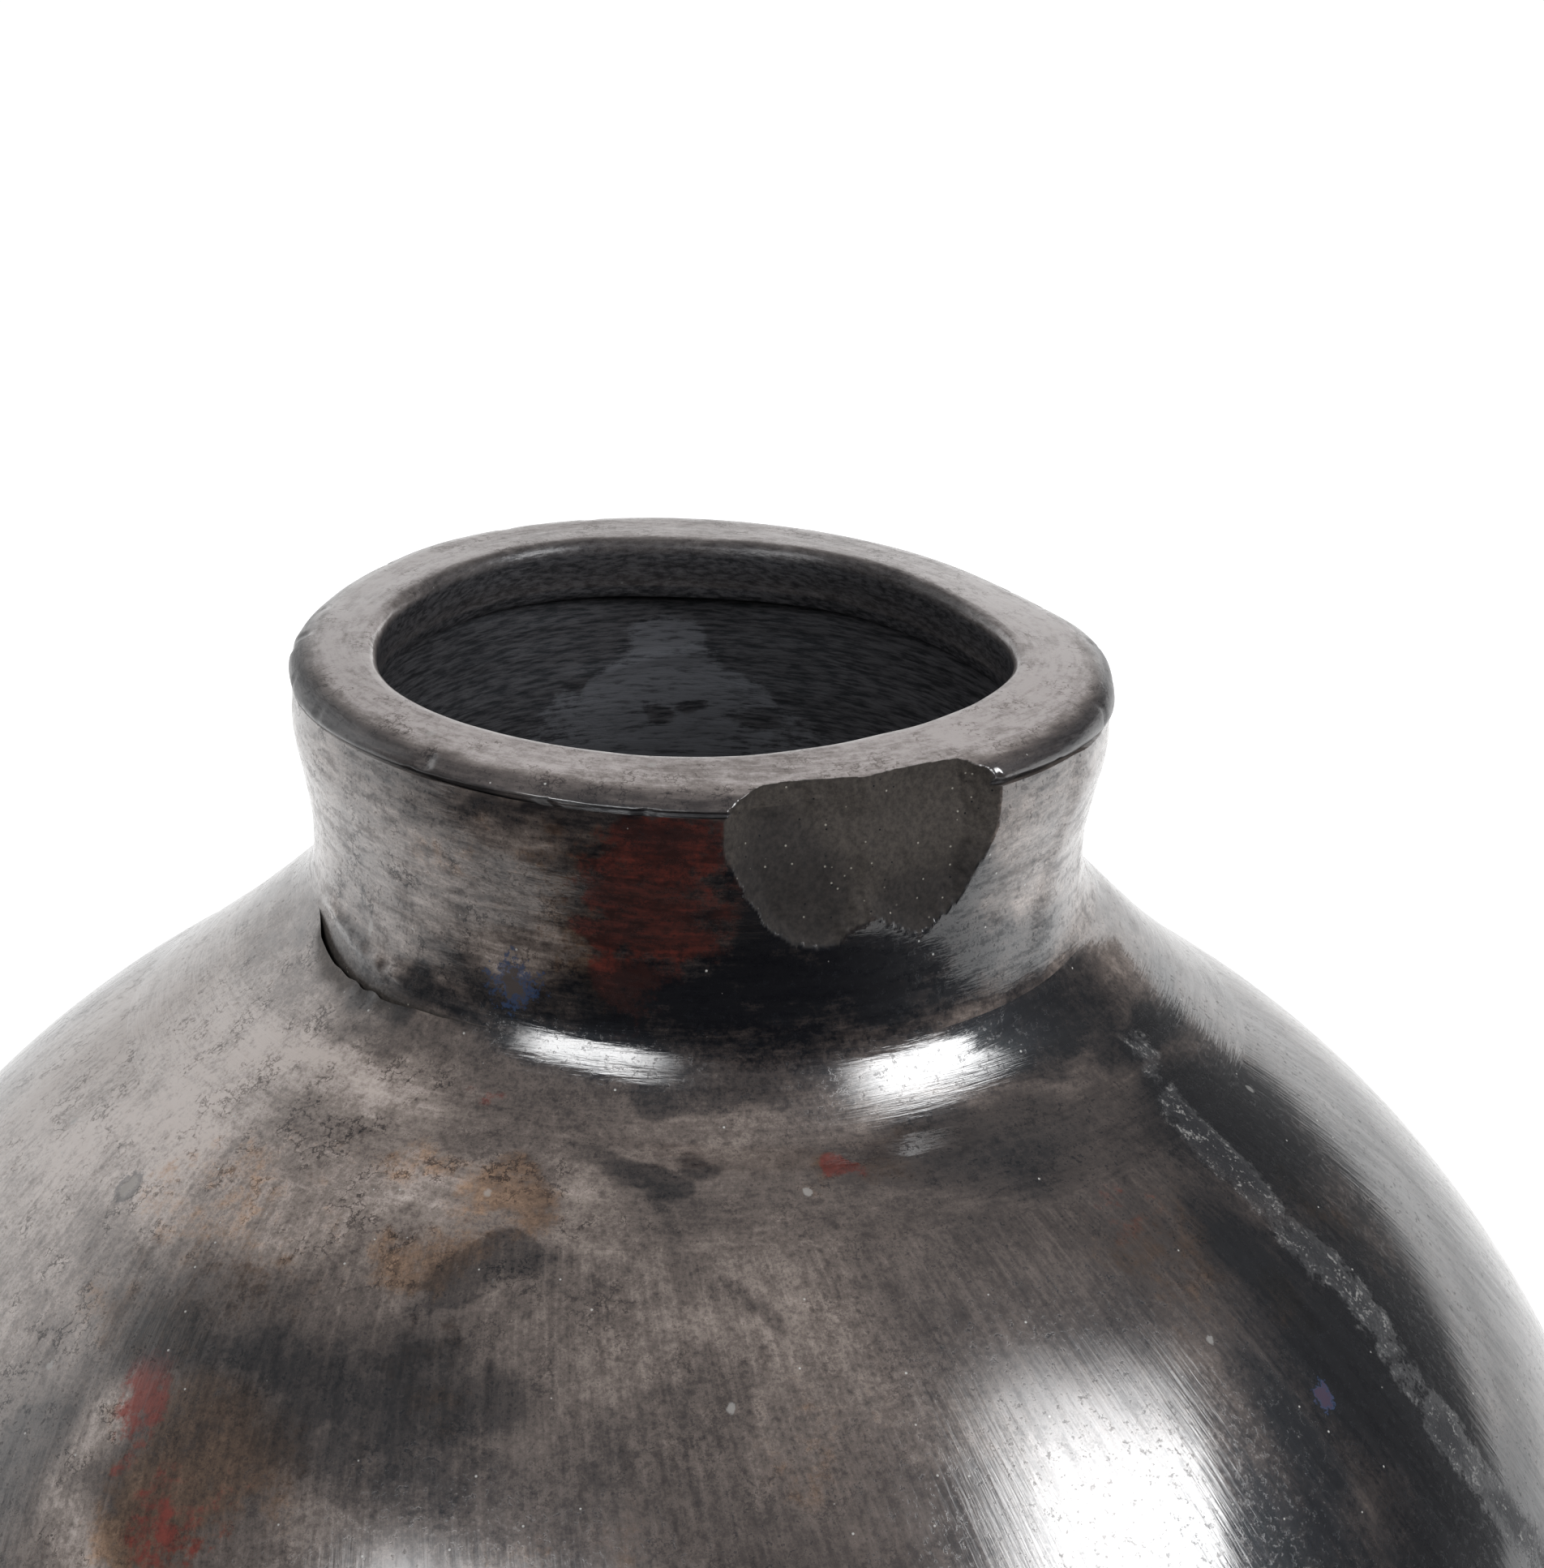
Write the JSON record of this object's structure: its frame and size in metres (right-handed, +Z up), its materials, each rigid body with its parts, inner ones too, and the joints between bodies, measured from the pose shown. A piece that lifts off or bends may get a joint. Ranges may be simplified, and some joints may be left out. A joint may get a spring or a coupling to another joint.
{
  "type": "pottery vase",
  "caption": "Round hand-built pottery vase with a short drawn-in neck and a thick flat lip, burnished and smoke-fired black, brown and grey, with a flake broken from the lip's edge.",
  "frame": {"origin": "centre of the foot's flat underside, on the surface that the vase stands on", "axes": "+Z up along the vase's axis, -Y to the front where the lip is broken, +X to the right as seen from the front"},
  "size_m": [0.192, 0.192, 0.1927],
  "materials": {
    "foot_clay": "smoke-fired clay, rubbed matt where it stands",
    "wall_clay": "stone-burnished, smoke-fired, clouded black, brown and grey",
    "neck_clay": "stone-burnished outside, scraped and matt inside",
    "lip_clay": "burnished taupe grey, with a matt sandy break"
  },
  "bodies": {
    "root": {"foot_disc": "foot_clay", "wall_coil_1": "wall_clay", "wall_coil_2": "wall_clay", "wall_coil_3": "wall_clay", "wall_coil_4": "wall_clay", "wall_coil_5": "wall_clay", "wall_coil_6": "wall_clay", "wall_coil_7": "wall_clay", "wall_coil_8": "wall_clay", "luting_roll": "wall_clay", "neck_collar": "neck_clay", "lip_coil": "lip_clay"}
  },
  "joints": []
}
